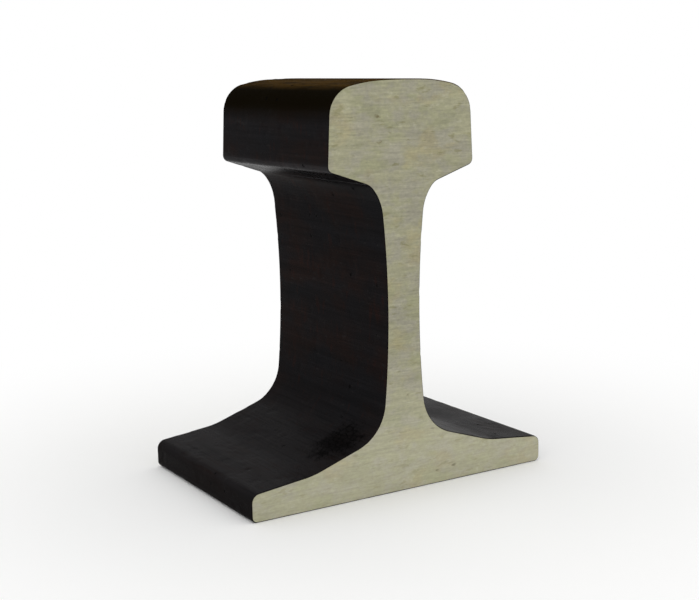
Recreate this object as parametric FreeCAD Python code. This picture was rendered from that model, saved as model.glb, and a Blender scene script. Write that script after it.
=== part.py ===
"""A short length of flat-bottom steel rail, of the 60 kg/m section, sawn square at both ends.

The rail is one rolled bar: head, web and foot are a single piece of steel.
Frame: Z up, Y along the rolled length, X across the foot.
The origin is the centre of the foot's underside, so the rail stands on Z = 0.
All sizes are in millimetres.
"""

import FreeCAD
import Part

import math
import os

Vector = FreeCAD.Vector

# Overall sizes
rail_height = 176.0
foot_width = 150.0
head_width = 73.0  # across the jaws, where the head is widest
piece_length = 93.5  # along the rolled length, between the two saw cuts

# Head
head_depth = 48.5  # from the crown to where the two fishing planes under the head would meet
head_side_slope = 1 / 20  # the head narrows upwards, mm sideways for each mm up
crown_radius = 300.0
crown_half_width = 10.0  # how far the crown arc runs each side of the middle
shoulder_radius = 80.0
gauge_corner_radius = 13.0
jaw_corner_radius = 3.0

# Web
web_thickness = 16.5  # at the waist, where it is thinnest
web_side_radius = 400.0
neck_corner_radius = 8.0  # next to the fishing plane under the head
neck_blend_radius = 20.0  # between that corner and the side of the web
neck_corner_turn = 32.0  # degrees of the neck's turn that the corner radius makes
foot_fillet_radius = 20.0

# Foot
toe_height = 12.0  # the upright edge of the foot, before its corners are rounded
toe_land_width = 29.25  # the flatter outer strip on top of the foot
toe_slope = 1 / 9
fishing_slope = 1 / 3  # the planes that a fishplate bears on, under the head and on the foot
land_blend_radius = 40.0
toe_top_radius = 4.0
toe_bottom_radius = 2.5

# Heights on the middle plane that the sizes above fix
half_foot = foot_width / 2
land_start = half_foot - toe_land_width
foot_depth = toe_height + toe_slope * toe_land_width + fishing_slope * land_start
underhead = rail_height - head_depth
jaw_height = underhead + fishing_slope * head_width / 2
waist_height = (foot_depth + underhead) / 2

steel_density = 7.85e-3  # grams per cubic millimetre


def point(x, z):
    return Vector(x, 0, z)


def direction(degrees):
    """The unit vector in the section plane, counted from +X towards +Z."""
    return point(math.cos(math.radians(degrees)), math.sin(math.radians(degrees)))


def left_of(along):
    """The unit vector square to a direction, on its left side when X is right and Z is up."""
    across = point(-along.z, along.x)
    return across.normalize()


def on_circle(start, along, centre, reach):
    """Where the ray from start, along a unit vector, leaves the circle of radius reach about centre."""
    gap = start - centre
    lengthwise = gap.dot(along)
    return start + along * (-lengthwise + math.sqrt(lengthwise**2 - gap.dot(gap) + reach**2))


def rounded(before, corner, after, radius):
    """Centre and both tangent points of an arc that rounds a corner between two straight runs."""
    inward = (before - corner).normalize()
    outward = (after - corner).normalize()
    half_angle = inward.getAngle(outward) / 2
    bisector = (inward + outward).normalize()
    setback = radius / math.tan(half_angle)
    centre = corner + bisector * (radius / math.sin(half_angle))
    return centre, corner + inward * setback, corner + outward * setback


def arc(centre, start, end):
    """An arc of less than half a turn from start to end."""
    radius = (start - centre).Length
    middle = centre + ((start + end) * 0.5 - centre).normalize() * radius
    return Part.Arc(start, middle, end).toShape()


def line(start, end):
    return Part.LineSegment(start, end).toShape()


def foot_edges(fillet_start):
    """From the flat underside, round the toe, to the start of the foot fillet."""
    toe_foot = point(half_foot, 0)
    toe_top = point(half_foot, toe_height)
    land_edge = point(land_start, toe_height + toe_slope * toe_land_width)
    bottom, bottom_in, bottom_out = rounded(point(0, 0), toe_foot, toe_top, toe_bottom_radius)
    top, top_in, top_out = rounded(toe_foot, toe_top, land_edge, toe_top_radius)
    blend, blend_in, blend_out = rounded(toe_top, land_edge, fillet_start, land_blend_radius)
    return [
        arc(bottom, bottom_in, bottom_out),
        line(bottom_out, top_in),
        arc(top, top_in, top_out),
        line(top_out, blend_in),
        arc(blend, blend_in, blend_out),
        line(blend_out, fillet_start),
    ]


def foot_fillet(web_centre):
    """Centre and both ends of the fillet between the foot's fishing plane and the web."""
    plane_up = point(-1, fishing_slope).normalize()
    off_plane = left_of(plane_up) * -foot_fillet_radius
    start = point(land_start, foot_depth - fishing_slope * land_start) + off_plane
    centre = on_circle(start, plane_up, web_centre, web_side_radius - foot_fillet_radius)
    to_web = (centre - web_centre).normalize()
    return centre, centre - off_plane, centre + to_web * foot_fillet_radius


def neck(web_centre):
    """Centres and ends of the two arcs that join the web to the fishing plane under the head."""
    jaw = point(head_width / 2, jaw_height)
    plane_in = point(-1, -fishing_slope).normalize()
    off_plane = left_of(plane_in) * neck_corner_radius
    plane_angle = math.degrees(math.atan(fishing_slope))
    meeting = direction(90 + plane_angle + neck_corner_turn)
    between_centres = meeting * (neck_corner_radius - neck_blend_radius)
    reach = web_side_radius - neck_blend_radius
    blend = on_circle(jaw + off_plane + between_centres, plane_in, web_centre, reach)
    corner = blend - between_centres
    web_end = blend + (blend - web_centre).normalize() * neck_blend_radius
    return blend, corner, web_end, blend + meeting * neck_blend_radius, corner - off_plane


def web_edges(web_centre, foot_arc, neck_arcs):
    """The foot fillet, the hollow side of the web and the neck, from bottom to top."""
    foot_centre, foot_start, foot_end = foot_arc
    blend, corner, web_end, meeting, neck_end = neck_arcs
    return [
        arc(foot_centre, foot_start, foot_end),
        arc(web_centre, foot_end, web_end),
        arc(blend, web_end, meeting),
        arc(corner, meeting, neck_end),
    ]


def crown_arc():
    """Centre and right end of the arc over the top of the head."""
    centre = point(0, rail_height - crown_radius)
    tilt = math.degrees(math.asin(crown_half_width / crown_radius))
    return centre, centre + direction(90 - tilt) * crown_radius


def head_edges(neck_end, crown_centre, crown_end):
    """From the end of the neck, round the jaw and the gauge corner, to the start of the crown."""
    jaw = point(head_width / 2, jaw_height)
    side_up = point(-head_side_slope, 1).normalize()
    jaw_centre, jaw_in, jaw_out = rounded(neck_end, jaw, jaw + side_up, jaw_corner_radius)
    shoulder_centre = crown_end + (crown_centre - crown_end).normalize() * shoulder_radius
    off_side = left_of(side_up) * gauge_corner_radius
    reach = shoulder_radius - gauge_corner_radius
    gauge_centre = on_circle(jaw + off_side, side_up, shoulder_centre, reach)
    gauge_start = gauge_centre - off_side
    to_shoulder = (gauge_centre - shoulder_centre).normalize()
    gauge_end = gauge_centre + to_shoulder * gauge_corner_radius
    return [
        line(neck_end, jaw_in),
        arc(jaw_centre, jaw_in, jaw_out),
        line(jaw_out, gauge_start),
        arc(gauge_centre, gauge_start, gauge_end),
        arc(shoulder_centre, gauge_end, crown_end),
    ]


def rail_section():
    """The closed outline of the rolled section, in the XZ plane."""
    web_centre = point(web_thickness / 2 + web_side_radius, waist_height)
    foot_arc = foot_fillet(web_centre)
    neck_arcs = neck(web_centre)
    crown_centre, crown_end = crown_arc()
    half = foot_edges(foot_arc[1]) + web_edges(web_centre, foot_arc, neck_arcs)
    half += head_edges(neck_arcs[-1], crown_centre, crown_end)
    other_half = [edge.mirror(Vector(0, 0, 0), Vector(1, 0, 0)) for edge in half]
    flat_half = half_foot - toe_bottom_radius  # the toe's edge stands square to the underside
    underside = line(point(-flat_half, 0), point(flat_half, 0))
    crown = arc(crown_centre, crown_end, point(-crown_end.x, crown_end.z))
    return Part.Wire(Part.__sortEdges__([underside, crown, *half, *other_half]))


def rail():
    """The sawn piece: the section swept along the rolled length, centred on the origin."""
    section = Part.Face(rail_section())
    section.translate(Vector(0, -piece_length / 2, 0))
    return section.extrude(Vector(0, piece_length, 0))


os.makedirs("parts", exist_ok=True)
body = rail()
body.exportStep("parts/rail.step")
area = body.Volume / piece_length
mass_per_metre = area * steel_density  # g/mm, which is kg/m
print(f"rail: section {area:.0f} mm2, {mass_per_metre:.2f} kg/m, valid {body.isValid()}")
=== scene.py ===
import math
from functools import partial

import bpy
from mathutils import Matrix, Vector


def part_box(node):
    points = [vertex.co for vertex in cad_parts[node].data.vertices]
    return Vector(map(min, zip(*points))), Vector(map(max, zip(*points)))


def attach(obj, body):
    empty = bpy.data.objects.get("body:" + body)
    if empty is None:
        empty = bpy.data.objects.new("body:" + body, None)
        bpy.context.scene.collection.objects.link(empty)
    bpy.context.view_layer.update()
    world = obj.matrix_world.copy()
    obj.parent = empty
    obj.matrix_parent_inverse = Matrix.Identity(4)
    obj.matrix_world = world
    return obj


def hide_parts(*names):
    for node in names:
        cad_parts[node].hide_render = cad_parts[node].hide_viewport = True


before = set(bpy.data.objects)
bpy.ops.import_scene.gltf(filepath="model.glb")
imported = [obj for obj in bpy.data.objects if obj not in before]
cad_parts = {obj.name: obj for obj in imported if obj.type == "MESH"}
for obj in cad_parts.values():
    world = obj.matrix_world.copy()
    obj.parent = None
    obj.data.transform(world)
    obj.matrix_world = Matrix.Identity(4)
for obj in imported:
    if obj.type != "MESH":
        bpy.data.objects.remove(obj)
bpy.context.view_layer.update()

# A short sawn piece of flat-bottom rail: black mill scale on the rolled sides, dull sawn ends.

cadLow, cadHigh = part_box("rail")
mm = 0.001
scene = bpy.context.scene
print("frame loaded, the rail measures", [round(side / mm, 2) for side in cadHigh - cadLow], "mm")


def linearColour(hexCode):
    parts = [int(hexCode[i : i + 2], 16) / 255 for i in (1, 3, 5)]
    return [p / 12.92 if p <= 0.04045 else ((p + 0.055) / 1.055) ** 2.4 for p in parts] + [1.0]


def addNode(tree, kind, inputs=(), **settings):
    # inputs are values, sockets or nodes, by name or in the order of the sockets that are in use
    made = tree.nodes.new(kind)
    for name, value in settings.items():
        setattr(made, name, value)
    sockets = [socket for socket in made.inputs if socket.enabled]
    if isinstance(inputs, dict):
        inputs = [inputs.get(socket.name) for socket in sockets]
    for socket, value in zip(sockets, inputs):
        if isinstance(value, bpy.types.Node):
            value = next(out for out in value.outputs if out.enabled)
        if isinstance(value, bpy.types.NodeSocket):
            tree.links.new(value, socket)
        elif value is not None:
            socket.default_value = value
    return made


railSection = {  # millimetres; height, foot width and length come from the frame
    "headWidth": 73.0,
    "headDepth": 48.5,  # crown to where the two fishing planes would meet
    "headSideSlope": 1 / 20,
    "crownRadius": 300.0,
    "crownHalfWidth": 10.0,
    "shoulderRadius": 80.0,
    "gaugeCornerRadius": 13.0,
    "jawRadius": 3.0,
    "webThickness": 16.5,
    "webSideRadius": 400.0,
    "neckCornerRadius": 8.0,
    "neckBlendRadius": 20.0,
    "neckCornerTurn": 32.0,  # degrees
    "footFilletRadius": 20.0,
    "toeHeight": 12.0,
    "toeLandWidth": 29.25,
    "toeSlope": 1 / 9,
    "fishingSlope": 1 / 3,
    "landBlendRadius": 40.0,
    "toeTopRadius": 4.0,
    "toeBottomRadius": 2.5,
    "pointSpacing": 1.1,  # along straight runs and large arcs
    "arcTurn": 9.0,  # degrees between points on the small arcs
}


def leftOf(v):
    return Vector((-v.y, v.x)).normalized()


def rayToCircle(start, along, centre, reach):
    gap = start - centre
    lengthwise = gap.dot(along)
    return start + along * (-lengthwise + math.sqrt(lengthwise**2 - gap.dot(gap) + reach**2))


def cornerArc(before, corner, after, radius):
    inward, outward = (before - corner).normalized(), (after - corner).normalized()
    halfAngle = inward.angle(outward) / 2
    centre = corner + (inward + outward).normalized() * radius / math.sin(halfAngle)
    setback = radius / math.tan(halfAngle)
    return centre, corner + inward * setback, corner + outward * setback


def sectionRuns(s, height, footWidth):
    # (centre, start, end) for each arc, (None, start, end) for each straight, toe to crown
    slope = s["fishingSlope"]
    halfFoot, landStart = footWidth / 2, footWidth / 2 - s["toeLandWidth"]
    landTop = s["toeHeight"] + s["toeSlope"] * s["toeLandWidth"]
    footDepth = landTop + slope * landStart
    underHead = height - s["headDepth"]
    jaw = Vector((s["headWidth"] / 2, underHead + slope * s["headWidth"] / 2))
    webCentre = Vector((s["webThickness"] / 2 + s["webSideRadius"], (footDepth + underHead) / 2))

    radius = s["footFilletRadius"]
    planeUp = Vector((-1, slope)).normalized()
    off = leftOf(planeUp) * -radius
    foot = rayToCircle(Vector((landStart, landTop)) + off, planeUp, webCentre, s["webSideRadius"] - radius)
    filletStart = foot - off
    filletEnd = foot + (foot - webCentre).normalized() * radius

    radius, cornerRadius = s["neckBlendRadius"], s["neckCornerRadius"]
    planeIn = Vector((-1, -slope)).normalized()
    off = leftOf(planeIn) * cornerRadius
    turn = math.pi / 2 + math.atan(slope) + math.radians(s["neckCornerTurn"])
    meeting = Vector((math.cos(turn), math.sin(turn)))
    between = meeting * (cornerRadius - radius)
    blend = rayToCircle(jaw + off + between, planeIn, webCentre, s["webSideRadius"] - radius)
    neck = blend - between
    webEnd = blend + (blend - webCentre).normalized() * radius
    neckMiddle, neckEnd = blend + meeting * radius, neck - off

    crown = Vector((0, height - s["crownRadius"]))
    tilt = math.asin(s["crownHalfWidth"] / s["crownRadius"])
    crownEnd = crown + Vector((math.sin(tilt), math.cos(tilt))) * s["crownRadius"]
    shoulder = crownEnd + (crown - crownEnd).normalized() * s["shoulderRadius"]
    sideUp = Vector((-s["headSideSlope"], 1)).normalized()
    off = leftOf(sideUp) * s["gaugeCornerRadius"]
    gauge = rayToCircle(jaw + off, sideUp, shoulder, s["shoulderRadius"] - s["gaugeCornerRadius"])
    gaugeEnd = gauge + (gauge - shoulder).normalized() * s["gaugeCornerRadius"]

    toeFoot, toeTop = Vector((halfFoot, 0)), Vector((halfFoot, s["toeHeight"]))
    land = Vector((landStart, landTop))
    bottom = cornerArc(Vector((0, 0)), toeFoot, toeTop, s["toeBottomRadius"])
    top = cornerArc(toeFoot, toeTop, land, s["toeTopRadius"])
    ramp = cornerArc(toeTop, land, filletStart, s["landBlendRadius"])
    jawArc = cornerArc(neckEnd, jaw, jaw + sideUp, s["jawRadius"])
    runs = [
        bottom,
        (None, bottom[2], top[1]),
        top,
        (None, top[2], ramp[1]),
        ramp,
        (None, ramp[2], filletStart),
        (foot, filletStart, filletEnd),
        (webCentre, filletEnd, webEnd),
        (blend, webEnd, neckMiddle),
        (neck, neckMiddle, neckEnd),
        (None, neckEnd, jawArc[1]),
        jawArc,
        (None, jawArc[2], gauge - off),
        (gauge, gauge - off, gaugeEnd),
        (shoulder, gaugeEnd, crownEnd),
    ]
    return runs, crown, [neckEnd, jawArc[1]]


def sampleRun(run, s):
    # points from the run's start up to, but not with, its end
    centre, start, end = run
    steps = max(2, math.ceil((end - start).length / s["pointSpacing"]))
    if centre is None:
        return [start.lerp(end, k / steps) for k in range(steps)]
    spoke = start - centre
    turn = -spoke.angle_signed(end - centre)
    steps = max(steps, math.ceil(math.degrees(abs(turn)) / s["arcTurn"]))
    return [centre + Matrix.Rotation(turn * k / steps, 2) @ spoke for k in range(steps)]


def sectionRing(s, height, footWidth, columns):
    # right side upwards, over the crown, left side downwards, and back along the underside
    runs, crown, highlightLines = sectionRuns(s, height, footWidth)
    right = [p for run in runs for p in sampleRun(run, s)] + [runs[-1][2]]
    spoke = right[-1] - crown
    turn = 2 * math.asin(spoke.x / spoke.length) / (columns - 1)
    over = [crown + Matrix.Rotation(turn * k, 2) @ spoke for k in range(1, columns - 1)]
    left = [Vector((-p.x, p.y)) for p in reversed(right)]
    under = [left[-1].lerp(right[0], k / (columns - 1)) for k in range(1, columns - 1)]
    return right + over + left + under, len(right), highlightLines


railPiece = {
    "columns": 41,  # points across each end, and across the underside
    "rings": 86,  # points along the rolled length
    "edgeBreak": 0.4,  # mm, the arris that a file has knocked off the saw cut
    "scaleRelief": 0.10,  # mm, how deep the flaked patches of scale lie
    "flakeSize": (9, 15, 9),  # mm
    "pitDepth": 0.30,
    "pitCell": (13, 13, 13),  # mm between pits
    "sawRelief": 0.07,  # mm, waves that the saw band left across the ends
    "sawWave": (70, 70, 3.4),  # mm
    "wornRadius": 0.8,  # mm, edges rounded this tightly are rubbed and given a painted highlight all the way, rounder ones less
    "highlightHalfWidth": 0.9,  # mm, half the width of the painted highlight lines along both edges of the head's underside
    "crispAngle": 32,  # degrees, edges sharper than this stay crisp
    "seed": 7,
}


def outlineMesh(piece, section):
    # the section's ring of loose points, each with the way that is outward there and how rubbed and
    # highlighted it is
    size = (cadHigh - cadLow) / mm
    ring, sidePoints, highlightLines = sectionRing(section, size.z, size.x, piece["columns"])
    mesh = bpy.data.meshes.new("railOutline")
    mesh.from_pydata([(p.x * mm, 0, p.y * mm) for p in ring], [], [])
    spans = [after - before for before, after in zip(ring[-1:] + ring[:-1], ring[1:] + ring[:1])]
    outward = [-leftOf(span) for span in spans]
    stored = mesh.attributes.new("outward", "FLOAT_VECTOR", "POINT")
    stored.data.foreach_set("vector", [v for way in outward for v in (way.x, 0, way.y)])
    wearAndHighlight = []
    for point, span, before, after in zip(ring, spans, outward[-1:] + outward[:-1], outward[1:] + outward[:1]):
        bend = -before.angle_signed(after)
        # painted highlight: points near the jaw and the neck's start get a bright line
        away = min((Vector((abs(point.x), point.y)) - line).length for line in highlightLines)
        wearAndHighlight.append(max(piece["wornRadius"] * bend / span.length, 1 - away / piece["highlightHalfWidth"], 0))
    stored = mesh.attributes.new("edgeWear", "FLOAT", "POINT")
    stored.data.foreach_set("value", [min(1, w) for w in wearAndHighlight])
    return mesh, sidePoints


def sweptRailTree(piece):
    tree = bpy.data.node_groups.new("sweptRail", "GeometryNodeTree")
    sockets = {"Geometry": "Geometry", "Length": "Float", "Edge Break": "Float", "Rings": "Int"}
    sockets |= {"Outline Points": "Int", "Side Points": "Int", "Columns": "Int"}
    sockets |= {"Scale Relief": "Float", "Pit Depth": "Float", "Saw Relief": "Float", "Seed": "Float"}
    sockets |= {"Rolled Finish": "Material", "Sawn Finish": "Material"}
    for name, kind in sockets.items():
        tree.interface.new_socket(name=name, in_out="INPUT", socket_type="NodeSocket" + kind)
    tree.interface.new_socket(name="Geometry", in_out="OUTPUT", socket_type="NodeSocketGeometry")
    add = partial(addNode, tree)
    given = add("NodeGroupInput").outputs
    place = add("GeometryNodeInputPosition")
    index = add("GeometryNodeInputIndex")
    outward = add("GeometryNodeInputNamedAttribute", ["outward"], data_type="FLOAT_VECTOR")
    wearAndHighlight = add("GeometryNodeInputNamedAttribute", ["edgeWear"], data_type="FLOAT")
    halfLength = add("ShaderNodeMath", [given["Length"], 0.5], operation="MULTIPLY")
    flatEnd = add("ShaderNodeMath", [halfLength, given["Edge Break"]], operation="SUBTRACT")
    pastFlat = add("ShaderNodeMath", [flatEnd, 0.001 * mm], operation="ADD")

    def insetPoint(point, amount):
        # the outline's point, moved by amount along its own outward direction
        spot = add("GeometryNodeSampleIndex", [given["Geometry"], place, point], data_type="FLOAT_VECTOR")
        way = add("GeometryNodeSampleIndex", [given["Geometry"], outward, point], data_type="FLOAT_VECTOR")
        moved = add("ShaderNodeVectorMath", [way, amount, spot], operation="MULTIPLY_ADD")
        return add("ShaderNodeSeparateXYZ", [moved]).outputs

    # rolled sides: a grid with a row of points for each ring, closed on itself by the merge
    perRing = add("ShaderNodeMath", [given["Outline Points"], 1], operation="ADD")
    lastRing = add("ShaderNodeMath", [given["Rings"], 2], operation="SUBTRACT")
    ring = add("ShaderNodeMath", [index, perRing], operation="DIVIDE")
    ring = add("ShaderNodeMath", [ring], operation="FLOOR")
    point = add("ShaderNodeMath", [index, perRing], operation="FLOORED_MODULO")
    point = add("ShaderNodeMath", [point, given["Outline Points"]], operation="FLOORED_MODULO")
    backEnd = add("ShaderNodeMath", [flatEnd, -1], operation="MULTIPLY")
    backHalf = add("ShaderNodeMath", [halfLength, -1], operation="MULTIPLY")
    along = add("ShaderNodeMapRange", [ring, 1, lastRing, backEnd, flatEnd], clamp=False)
    along = add("ShaderNodeClamp", [along, backHalf, halfLength])
    fromMiddle = add("ShaderNodeMath", [along], operation="ABSOLUTE")
    atSaw = add("ShaderNodeMath", [fromMiddle, pastFlat], operation="GREATER_THAN")
    inward = add("ShaderNodeMath", [given["Edge Break"], -1], operation="MULTIPLY")
    drawnIn = add("ShaderNodeMath", [atSaw, inward], operation="MULTIPLY")
    side = insetPoint(point, drawnIn)
    spot = add("ShaderNodeCombineXYZ", [side["X"], along, side["Z"]])
    sides = add("GeometryNodeMeshGrid", {"Vertices X": given["Rings"], "Vertices Y": perRing})
    sides = add("GeometryNodeSetPosition", {"Geometry": sides, "Position": spot})
    wearAndHighlight = add("GeometryNodeSampleIndex", [given["Geometry"], wearAndHighlight, point])
    sides = add("GeometryNodeStoreNamedAttribute", {"Geometry": sides, "Name": "edgeWear", "Value": wearAndHighlight})
    parts = [sides]

    # sawn ends: each row of a grid spans the section at one height, and the last one lies on the crown
    lastColumn = add("ShaderNodeMath", [given["Columns"], 1], operation="SUBTRACT")
    column = add("ShaderNodeMath", [index, given["Side Points"]], operation="DIVIDE")
    column = add("ShaderNodeMath", [column], operation="FLOOR")
    row = add("ShaderNodeMath", [index, given["Side Points"]], operation="FLOORED_MODULO")
    beforeLast = add("ShaderNodeMath", [given["Side Points"], 1.5], operation="SUBTRACT")
    onCrown = add("ShaderNodeMath", [row, beforeLast], operation="GREATER_THAN")
    fromRight = add("ShaderNodeMath", [lastColumn, column], operation="SUBTRACT")
    point = add("ShaderNodeMath", [onCrown, fromRight, row], operation="MULTIPLY_ADD")
    edge = insetPoint(point, inward)
    share = add("ShaderNodeMapRange", [column, 0, lastColumn, -1, 1])
    share = add("ShaderNodeMix", [onCrown, share, 1.0])
    across = add("ShaderNodeMath", [edge["X"], share], operation="MULTIPLY")
    for far in (backHalf, halfLength):
        end = add("GeometryNodeMeshGrid", {"Vertices X": given["Columns"], "Vertices Y": given["Side Points"]})
        spot = add("ShaderNodeCombineXYZ", [across, far, edge["Z"]])
        end = add("GeometryNodeSetPosition", {"Geometry": end, "Position": spot})
        if far is halfLength:
            end = add("GeometryNodeFlipFaces", [end])
        parts.append(end)
    joined = add("GeometryNodeJoinGeometry")
    for part in reversed(parts):
        tree.links.new(part.outputs[0], joined.inputs[0])
    solid = add("GeometryNodeMergeByDistance", {"Geometry": joined, "Distance": 0.008 * mm})

    # relief: scale that has flaked off in patches, a few rolled-in pits, and saw waves on the ends
    inMm = add("ShaderNodeVectorMath", [place, 1 / mm], operation="SCALE")
    flakeAt = add("ShaderNodeVectorMath", [inMm, piece["flakeSize"]], operation="DIVIDE")
    flake = {"Vector": flakeAt, "W": given["Seed"], "Scale": 1.0, "Detail": 4, "Roughness": 0.62}
    flake = add("ShaderNodeTexNoise", flake, noise_dimensions="4D")
    flaked = add("ShaderNodeMapRange", [flake, 0.555, 0.585])
    pitAt = add("ShaderNodeVectorMath", [inMm, piece["pitCell"]], operation="DIVIDE")
    pit = {"Vector": pitAt, "W": given["Seed"], "Scale": 1.0, "Randomness": 1.0}
    pit = add("ShaderNodeTexVoronoi", pit, voronoi_dimensions="4D")
    hollow = add("ShaderNodeMapRange", [pit.outputs["Distance"], 0.13, 0.03], interpolation_type="SMOOTHSTEP")
    pitted = add("ShaderNodeMath", [hollow, given["Pit Depth"]], operation="MULTIPLY")
    sideDepth = add("ShaderNodeMath", [flaked, given["Scale Relief"], pitted], operation="MULTIPLY_ADD")
    waveAt = add("ShaderNodeVectorMath", [inMm, piece["sawWave"]], operation="DIVIDE")
    wave = {"Vector": waveAt, "W": given["Seed"], "Scale": 1.0, "Detail": 2, "Roughness": 0.55}
    wave = add("ShaderNodeTexNoise", wave, noise_dimensions="4D")
    sawDepth = add("ShaderNodeMath", [wave, given["Saw Relief"]], operation="MULTIPLY")
    endwise = add("ShaderNodeSeparateXYZ", [place]).outputs["Y"]
    fromMiddle = add("ShaderNodeMath", [endwise], operation="ABSOLUTE")
    onEnd = add("ShaderNodeMath", [fromMiddle, pastFlat], operation="GREATER_THAN")
    depth = add("ShaderNodeMix", [onEnd, sideDepth, sawDepth])
    depth = add("ShaderNodeMath", [depth, -mm], operation="MULTIPLY")
    facing = add("ShaderNodeMath", [endwise], operation="SIGN")
    facing = add("ShaderNodeCombineXYZ", [0, facing, 0])
    normal = add("GeometryNodeInputNormal")
    facing = add("ShaderNodeMix", [onEnd, normal, facing], data_type="VECTOR")
    shift = add("ShaderNodeVectorMath", [facing, depth], operation="SCALE")
    relief = add("GeometryNodeSetPosition", {"Geometry": solid, "Offset": shift})

    # rolled faces shade smoothly and the saw cut's arris stays crisp
    smooth = add("GeometryNodeSetShadeSmooth", {"Geometry": relief, "Shade Smooth": True})
    bend = add("GeometryNodeInputMeshEdgeAngle").outputs["Unsigned Angle"]
    sharp = add("ShaderNodeMath", [bend, math.radians(piece["crispAngle"])], operation="GREATER_THAN")
    crisp = {"Geometry": smooth, "Selection": sharp, "Shade Smooth": False}
    crisp = add("GeometryNodeSetShadeSmooth", crisp, domain="EDGE")
    real = add("GeometryNodeRealizeInstances", {"Geometry": crisp})
    halfBreak = add("ShaderNodeMath", [given["Edge Break"], 0.6, flatEnd], operation="MULTIPLY_ADD")
    onFace = add("ShaderNodeMath", [fromMiddle, halfBreak], operation="GREATER_THAN")
    rolled = add("GeometryNodeSetMaterial", {"Geometry": real, "Material": given["Rolled Finish"]})
    sawn = {"Geometry": rolled, "Selection": onFace, "Material": given["Sawn Finish"]}
    sawn = add("GeometryNodeSetMaterial", sawn)
    add("NodeGroupOutput", [sawn])
    return tree


def makeRail(piece, section, rolledFinish, sawnFinish):
    outline, sidePoints = outlineMesh(piece, section)
    outline.materials.append(rolledFinish)
    outline.materials.append(sawnFinish)
    base = bpy.data.objects.new("railOutline", outline)
    scene.collection.objects.link(base)
    tree = sweptRailTree(piece)
    modifier = base.modifiers.new("sweptRail", "NODES")
    modifier.node_group = tree
    values = {
        "Length": cadHigh.y - cadLow.y,
        "Edge Break": piece["edgeBreak"] * mm,
        "Rings": piece["rings"],
        "Outline Points": len(outline.vertices),
        "Side Points": sidePoints,
        "Columns": piece["columns"],
        "Scale Relief": piece["scaleRelief"],
        "Pit Depth": piece["pitDepth"],
        "Saw Relief": piece["sawRelief"],
        "Seed": float(piece["seed"]),
        "Rolled Finish": rolledFinish,
        "Sawn Finish": sawnFinish,
    }
    for socket in tree.interface.items_tree:
        if socket.in_out == "INPUT" and socket.name in values:
            modifier[socket.identifier] = values[socket.name]
    evaluated = base.evaluated_get(bpy.context.evaluated_depsgraph_get())
    mesh = bpy.data.meshes.new_from_object(evaluated)
    bpy.data.objects.remove(base)
    mesh.materials.pop(index=0)  # the empty slot that the grids came with
    rail = bpy.data.objects.new("sawnRail", mesh)
    scene.collection.objects.link(rail)
    return rail


def startFinish(name, patterns=None):
    # a bare shader, and noise patterns whose features are about as large as their sizes in mm
    material = bpy.data.materials.new(name)
    material.use_nodes = True
    material.node_tree.nodes.clear()
    add = partial(addNode, material.node_tree)
    surface = add("ShaderNodeBsdfPrincipled")
    add("ShaderNodeOutputMaterial", [surface])
    coords = add("ShaderNodeTexCoord").outputs["Object"]
    inMm = add("ShaderNodeVectorMath", [coords, 1 / mm], operation="SCALE")
    noise = {}
    for key, (size, detail, roughness) in (patterns or {}).items():
        spread = add("ShaderNodeVectorMath", [inMm, size], operation="DIVIDE")
        noise[key] = add("ShaderNodeTexNoise", [spread, 1.0, detail, roughness])
    return material, add, surface, inMm, noise


def layColours(add, noise, f):
    # the finish's base colour, its layers over it, and then the streaks that darken or lighten it
    colour = linearColour(f["base"])
    for hexCode, pattern, start, full, most in f["layers"]:
        share = [noise[pattern], start, full, 0, most]
        share = add("ShaderNodeMapRange", share, interpolation_type="SMOOTHSTEP")
        colour = add("ShaderNodeMix", [share, colour, linearColour(hexCode)], data_type="RGBA")
    for pattern, amount in f["streaks"].items():
        shade = add("ShaderNodeMath", [noise[pattern], amount, 1 - amount / 2], operation="MULTIPLY_ADD")
        colour = add("ShaderNodeMix", [1.0, colour, shade], data_type="RGBA", blend_type="MULTIPLY")
    return colour


def layRelief(add, noise, f, surface, marks, marksHeight):
    # bump from the patterns, in the shares that the finish gives, with the marks sunk or raised
    relief = add("ShaderNodeMath", [marks, marksHeight], operation="MULTIPLY")
    for pattern, share in f["bump"].items():
        relief = add("ShaderNodeMath", [noise[pattern], share, relief], operation="MULTIPLY_ADD")
    bump = {"Strength": 1.0, "Distance": f["bumpHeight"] * mm, "Height": relief}
    surface.id_data.links.new(add("ShaderNodeBump", bump).outputs[0], surface.inputs["Normal"])


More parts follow.
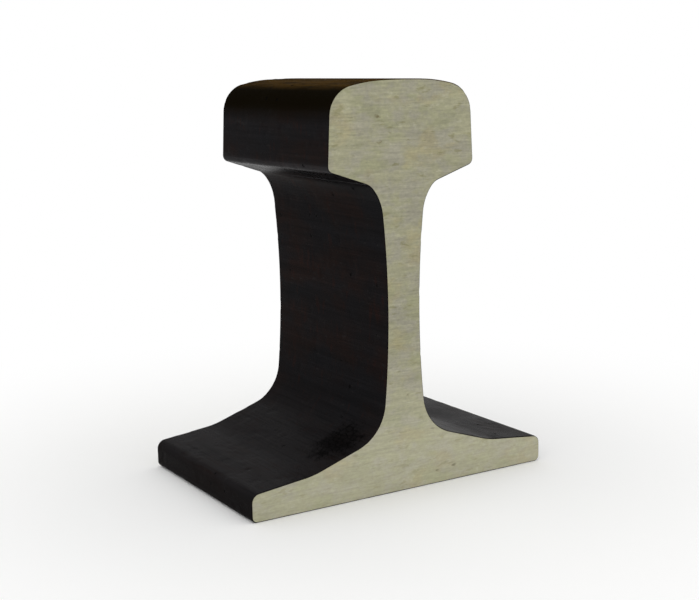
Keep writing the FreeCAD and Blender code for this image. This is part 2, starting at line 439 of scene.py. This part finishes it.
scaleFinish = {
    # mill scale, the oxide skin left by hot rolling: dry and brittle, so it is black with little sheen
    "base": "#141213",
    "layers": [  # colour, the pattern that spreads it, where it starts and is full, and its most
        ("#1a1210", "cloud", 0.42, 0.62, 1.0),
        ("#131315", "drift", 0.48, 0.62, 0.8),
        ("#211310", "blush", 0.58, 0.70, 0.6),
        ("#1e1c1c", "flecks", 0.60, 0.68, 0.7),
    ],
    "patterns": {  # size along X, Y and Z in mm, detail, roughness
        "cloud": ((26, 38, 26), 4, 0.6),
        "drift": ((17, 60, 23), 3, 0.5),
        "blush": ((6, 3, 9), 3, 0.5),
        "streak": ((0.8, 34, 0.8), 3, 0.7),
        "roll": ((3.2, 120, 3.2), 2, 0.5),
        "bands": ((4.5, 45, 4.5), 4, 0.65),
        "flecks": ((2.4, 6, 2.4), 4, 0.7),
        "mottle": ((5, 11, 5), 5, 0.72),
        "grain": ((0.7, 0.7, 0.7), 2, 0.6),  # drawn twice as coarse as the real one so that it shows
        "patches": ((14, 20, 14), 3, 0.7),
        "ragged": ((5, 7, 5), 4, 0.7),
    },
    "streaks": {"streak": 1.2, "roll": 0.9},  # drawn along the bar by the rolls
    "footTopLit": "#1b191a",  # painted light: the upward-facing top of the foot is drawn lighter than the sides
    "footLitBand": (7, 12, 20, 36),  # mm above the underside: starts, full, still full, gone
    "toeShadeBand": (12, 8),  # painted shade: below this the toes are darkened towards the floor
    "toe": "#0f0c0c",
    "rubbedAndHighlight": "#424143",  # rounded edges of the head, partly thinned by handling and partly a painted highlight, and the neck line, a painted highlight
    "rubbedAndHighlightBand": (60, 110),
    "film": "#0d0903",  # dark skin that the wheels' side of the head has
    "filmBand": (158, 168),
    "bloom": "#3e2c0e",  # the first brown bloom of rust on the running surface
    "bloomBand": (171.3, 174.3),
    "pit": "#060505",
    "pitCell": 9.0,  # mm between pits
    "crackCell": (2.1, 3.0, 2.1),  # mm
    "crazedPlace": (-26, -33, 25),  # mm, a patch that heat crazed beside the left foot fillet
    "crazedRadius": 14,
    "sheen": 0.006,
    "roughness": (0.22, 0.36),
    "filmRoughness": 0.6,  # added where the film is full
    "bump": {"streak": 0.8, "grain": 0.45, "cloud": 0.5},
    "bumpHeight": 0.11,  # mm
}


def millScale(f):
    material, add, surface, inMm, noise = startFinish("millScale", f["patterns"])
    eased = {"interpolation_type": "SMOOTHSTEP"}
    above = add("ShaderNodeSeparateXYZ", [inMm]).outputs["Z"]
    colour = layColours(add, noise, f)

    # painted light: the top of the foot is made lighter where it faces up, broken up by the streaks
    start, full, stillFull, gone = f["footLitBand"]
    rise = add("ShaderNodeMapRange", [above, start, full], **eased)
    litFootTop = add("ShaderNodeMapRange", [above, gone, stillFull, 0, rise], **eased)
    litFootTop = add("ShaderNodeMapRange", [noise["streak"], 0.35, 0.60, 0.15, litFootTop], **eased)
    colour = add("ShaderNodeMix", [litFootTop, colour, linearColour(f["footTopLit"])], data_type="RGBA")
    # painted shade: the toes darken towards the floor
    toeShade = add("ShaderNodeMapRange", [above, *f["toeShadeBand"], 0, 0.85], **eased)
    colour = add("ShaderNodeMix", [toeShade, colour, linearColour(f["toe"])], data_type="RGBA")

    # rounded edges, read from how sharply the section bends there: partly rubbed, partly painted highlight,
    # with painted highlight lines along the jaws and the neck's start
    wearAndHighlight = add("ShaderNodeAttribute", attribute_name="edgeWear").outputs["Fac"]
    onHead = add("ShaderNodeMapRange", [above, *f["rubbedAndHighlightBand"], 0, wearAndHighlight], **eased)
    rubbedAndHighlightShare = add("ShaderNodeMapRange", [noise["bands"], 0.25, 0.50, 0, onHead], **eased)
    colour = add("ShaderNodeMix", [rubbedAndHighlightShare, colour, linearColour(f["rubbedAndHighlight"])], data_type="RGBA")

    # the film on the head's shoulders, and the bloom on the crown in long uneven bands
    wavering = add("ShaderNodeMath", [noise["roll"], 3.0, above], operation="MULTIPLY_ADD")
    film = add("ShaderNodeMapRange", [wavering, *f["filmBand"]], **eased)
    bands = add("ShaderNodeMapRange", [noise["bands"], 0.34, 0.58, 0.35, 1.0], **eased)
    bands = add("ShaderNodeMapRange", [noise["mottle"], 0.30, 0.52, 0.3, bands], **eased)
    bloom = add("ShaderNodeMapRange", [above, *f["bloomBand"], 0, bands], **eased)
    brown = [bloom, linearColour(f["film"]), linearColour(f["bloom"])]
    brown = add("ShaderNodeMix", brown, data_type="RGBA")
    colour = add("ShaderNodeMix", [film, colour, brown], data_type="RGBA")

    # scattered pits, and the crazed patch with its cracks
    cellsAt = add("ShaderNodeVectorMath", [inMm, [f["pitCell"]] * 3], operation="DIVIDE")
    cells = add("ShaderNodeTexVoronoi", {"Vector": cellsAt, "Scale": 1.0, "Randomness": 1.0}).outputs
    chosen = add("ShaderNodeMapRange", [cells["Color"], 0.45, 0.50], **eased)
    torn = add("ShaderNodeMath", [noise["grain"], 0.35, cells["Distance"]], operation="MULTIPLY_ADD")
    pit = add("ShaderNodeMapRange", [torn, 0.30, 0.20, 0, chosen], **eased)
    cracksAt = add("ShaderNodeVectorMath", [inMm, f["crackCell"]], operation="DIVIDE")
    cracks = {"Vector": cracksAt, "Scale": 1.0, "Randomness": 1.0}
    cracks = add("ShaderNodeTexVoronoi", cracks, feature="DISTANCE_TO_EDGE")
    away = add("ShaderNodeVectorMath", [inMm, f["crazedPlace"]], operation="DISTANCE")
    away = add("ShaderNodeMath", [noise["ragged"], f["crazedRadius"] * 1.6, away], operation="MULTIPLY_ADD")
    near = add("ShaderNodeMapRange", [away, f["crazedRadius"] * 1.9, f["crazedRadius"] * 1.2], **eased)
    cracked = add("ShaderNodeMapRange", [cracks, 0.12, 0.02, 0, near], **eased)
    crazed = add("ShaderNodeMath", [near, 0.7, cracked], operation="MULTIPLY_ADD")
    marks = add("ShaderNodeMath", [pit, crazed], operation="MAXIMUM", use_clamp=True)
    colour = add("ShaderNodeMix", [marks, colour, linearColour(f["pit"])], data_type="RGBA")
    links = material.node_tree.links
    links.new(colour.outputs[2], surface.inputs["Base Color"])

    roughness = add("ShaderNodeMapRange", [noise["cloud"], 0.35, 0.65, *f["roughness"]])
    roughness = add("ShaderNodeMath", [film, f["filmRoughness"], roughness], operation="MULTIPLY_ADD")
    roughness = add("ShaderNodeMath", [marks, 0.2, roughness], operation="MULTIPLY_ADD")
    links.new(roughness.outputs[0], surface.inputs["Roughness"])
    surface.inputs["Specular IOR Level"].default_value = f["sheen"]
    layRelief(add, noise, f, surface, marks, -1.0)
    print("mill scale finish made")
    return material


sawnFinish = {
    # sawn steel under a thin grey-green film of oil and damp: bare metal that has lost its shine
    "base": "#8b8970",
    "layers": [
        ("#8f8c7c", "blotch", 0.42, 0.60, 0.9),
        ("#878769", "tint", 0.50, 0.64, 0.7),
        ("#8f8766", "warmth", 0.52, 0.66, 0.6),
        ("#9c9a86", "dabs", 0.58, 0.72, 0.5),
        ("#797656", "marks", 0.60, 0.70, 0.7),
    ],
    "patterns": {
        "blotch": ((12, 12, 9), 5, 0.65),
        "tint": ((17, 17, 8), 4, 0.6),
        "warmth": ((24, 24, 15), 4, 0.6),
        "dabs": ((5, 5, 2.6), 4, 0.65),
        "marks": ((7, 7, 2.4), 3, 0.6),
        "fine": ((9, 9, 0.9), 3, 0.75),  # the saw's strokes
        "broad": ((30, 30, 3.0), 2, 0.5),
        "grit": ((1.8, 1.8, 1.3), 2, 0.6),
    },
    "streaks": {"fine": 0.76, "broad": 0.28, "grit": 0.46},
    "footBounceColour": "#9a9889",  # painted light: the foot's cut is made greyer and brighter, as light off the floor would make it
    "footBounceBand": (70, 15),  # mm above the underside, where it starts and is full
    "footBounceGain": 1.3,
    "speck": "#5d5436",
    "speckCell": (13, 13, 7),
    "metallic": 0.55,
    "roughness": (0.46, 0.62),
    "bump": {"fine": 0.7, "broad": 0.5, "grit": 0.3},
    "bumpHeight": 0.02,
}


def sawnSteel(f):
    material, add, surface, inMm, noise = startFinish("sawnSteel", f["patterns"])
    eased = {"interpolation_type": "SMOOTHSTEP"}
    above = add("ShaderNodeSeparateXYZ", [inMm]).outputs["Z"]
    # painted light: towards the underside the cut is made paler, greyer and brighter, standing in for light
    # off the floor
    bounceTint = add("ShaderNodeMapRange", [above, *f["footBounceBand"], 0, 0.25], **eased)
    bounceGain = add("ShaderNodeMapRange", [above, *f["footBounceBand"], 1, f["footBounceGain"]], **eased)
    colour = layColours(add, noise, f)
    colour = add("ShaderNodeMix", [bounceTint, colour, linearColour(f["footBounceColour"])], data_type="RGBA")
    colour = add("ShaderNodeMix", [1.0, colour, bounceGain], data_type="RGBA", blend_type="MULTIPLY")

    # small torn specks, longer than high, where a tooth dragged
    cellsAt = add("ShaderNodeVectorMath", [inMm, f["speckCell"]], operation="DIVIDE")
    cells = add("ShaderNodeTexVoronoi", {"Vector": cellsAt, "Scale": 1.0, "Randomness": 1.0}).outputs
    chosen = add("ShaderNodeMapRange", [cells["Color"], 0.44, 0.38, 0, 0.8], **eased)
    ragged = add("ShaderNodeMath", [noise["dabs"], 0.6, cells["Distance"]], operation="MULTIPLY_ADD")
    speck = add("ShaderNodeMapRange", [ragged, 0.42, 0.30, 0, chosen], **eased)
    colour = add("ShaderNodeMix", [speck, colour, linearColour(f["speck"])], data_type="RGBA")
    links = material.node_tree.links
    links.new(colour.outputs[2], surface.inputs["Base Color"])

    roughness = add("ShaderNodeMapRange", [noise["blotch"], 0.35, 0.65, *f["roughness"]])
    links.new(roughness.outputs[0], surface.inputs["Roughness"])
    surface.inputs["Metallic"].default_value = f["metallic"]
    layRelief(add, noise, f, surface, speck, -0.8)
    print("sawn steel finish made")
    return material


rail = makeRail(railPiece, railSection, millScale(scaleFinish), sawnSteel(sawnFinish))
print("rail swept:", len(rail.data.polygons), "faces")
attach(rail, "root")
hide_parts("rail")

studio = {
    "floorRadius": 3.0,  # metres
    "paper": "#fdfdfc",
    "paperFades": (105, 300),  # mm from the rail, where the lit paper turns into plain white
    "ambient": 0.96,
    "lampPlace": (0.42, -1.20, 0.16),  # metres
    "lampSize": (0.9, 0.3),
    "lampPower": 2.2,
}


def seenWhite(add):
    # 1 for what the camera sees straight, in a reflection or through glass, and 0 for the light it gives
    rays = add("ShaderNodeLightPath").outputs
    seen = add("ShaderNodeMath", [rays["Is Camera Ray"], rays["Is Glossy Ray"]], operation="ADD")
    return add("ShaderNodeMath", [seen, rays["Is Transmission Ray"]], operation="ADD", use_clamp=True)


def studioPaper(f):
    # matt white background paper, which keeps the shadow near the rail and goes plain white further off
    material, add, surface, inMm, noise = startFinish("studioPaper")
    surface.inputs["Base Color"].default_value = linearColour(f["paper"])
    surface.inputs["Roughness"].default_value = 0.9
    distance = add("ShaderNodeVectorMath", [inMm], operation="LENGTH")
    faded = [distance, *f["paperFades"], 0, seenWhite(add)]
    faded = add("ShaderNodeMapRange", faded, interpolation_type="SMOOTHSTEP")
    white = add("ShaderNodeEmission")
    both = add("ShaderNodeMixShader", [faded, surface, white])
    output = material.node_tree.nodes["Material Output"]
    material.node_tree.links.new(both.outputs[0], output.inputs["Surface"])
    return material


def makeFloor(f):
    mesh = bpy.data.meshes.new("studioFloor")
    r = f["floorRadius"]
    mesh.from_pydata([(-r, -r, 0), (r, -r, 0), (r, r, 0), (-r, r, 0)], [], [(0, 1, 2, 3)])
    mesh.materials.append(studioPaper(f))
    floor = bpy.data.objects.new("studioFloor", mesh)
    scene.collection.objects.link(floor)
    print("floor laid")


def makeLight(f):
    # the room shows white, and lights the rail at a slightly lower level than the lamp's side
    scene.world = bpy.data.worlds.new("studio")
    scene.world.use_nodes = True
    tree = scene.world.node_tree
    add = partial(addNode, tree)
    strength = add("ShaderNodeMix", [seenWhite(add), f["ambient"], 1.0])
    room = tree.nodes["Background"]
    room.inputs["Color"].default_value = (1, 1, 1, 1)
    tree.links.new(strength.outputs[0], room.inputs["Strength"])

    lamp = bpy.data.objects.new("softbox", bpy.data.lights.new("softbox", "AREA"))
    scene.collection.objects.link(lamp)
    lamp.data.shape = "RECTANGLE"
    lamp.data.size, lamp.data.size_y = f["lampSize"]
    lamp.data.energy = f["lampPower"]
    lamp.location = f["lampPlace"]
    aim = Vector((0, 0, (cadLow.z + cadHigh.z) / 2)) - lamp.location
    lamp.rotation_euler = aim.to_track_quat("-Z", "Y").to_euler()
    print("studio lit")


makeFloor(studio)
makeLight(studio)

shot = {
    "place": (-302.17, -489.47, 181.96),  # mm from the rail's origin
    "yaw": 31.86,  # degrees to the right of straight at the sawn end
    "pitch": 10.35,  # degrees below level
    "roll": -0.93,
    "lens": 66.42,  # mm on a 36 mm sensor
}


def makeCamera(f):
    camera = bpy.data.objects.new("camera", bpy.data.cameras.new("camera"))
    scene.collection.objects.link(camera)
    turn = Matrix.Rotation(math.radians(-f["yaw"]), 4, "Z")
    turn @= Matrix.Rotation(math.radians(90 - f["pitch"]), 4, "X")
    turn @= Matrix.Rotation(math.radians(f["roll"]), 4, "Z")
    camera.matrix_world = Matrix.Translation(Vector(f["place"]) * mm) @ turn
    camera.data.lens = f["lens"]
    camera.data.clip_start = 0.01
    scene.camera = camera
    print("camera placed")


makeCamera(shot)
scene.view_settings.view_transform = "Standard"
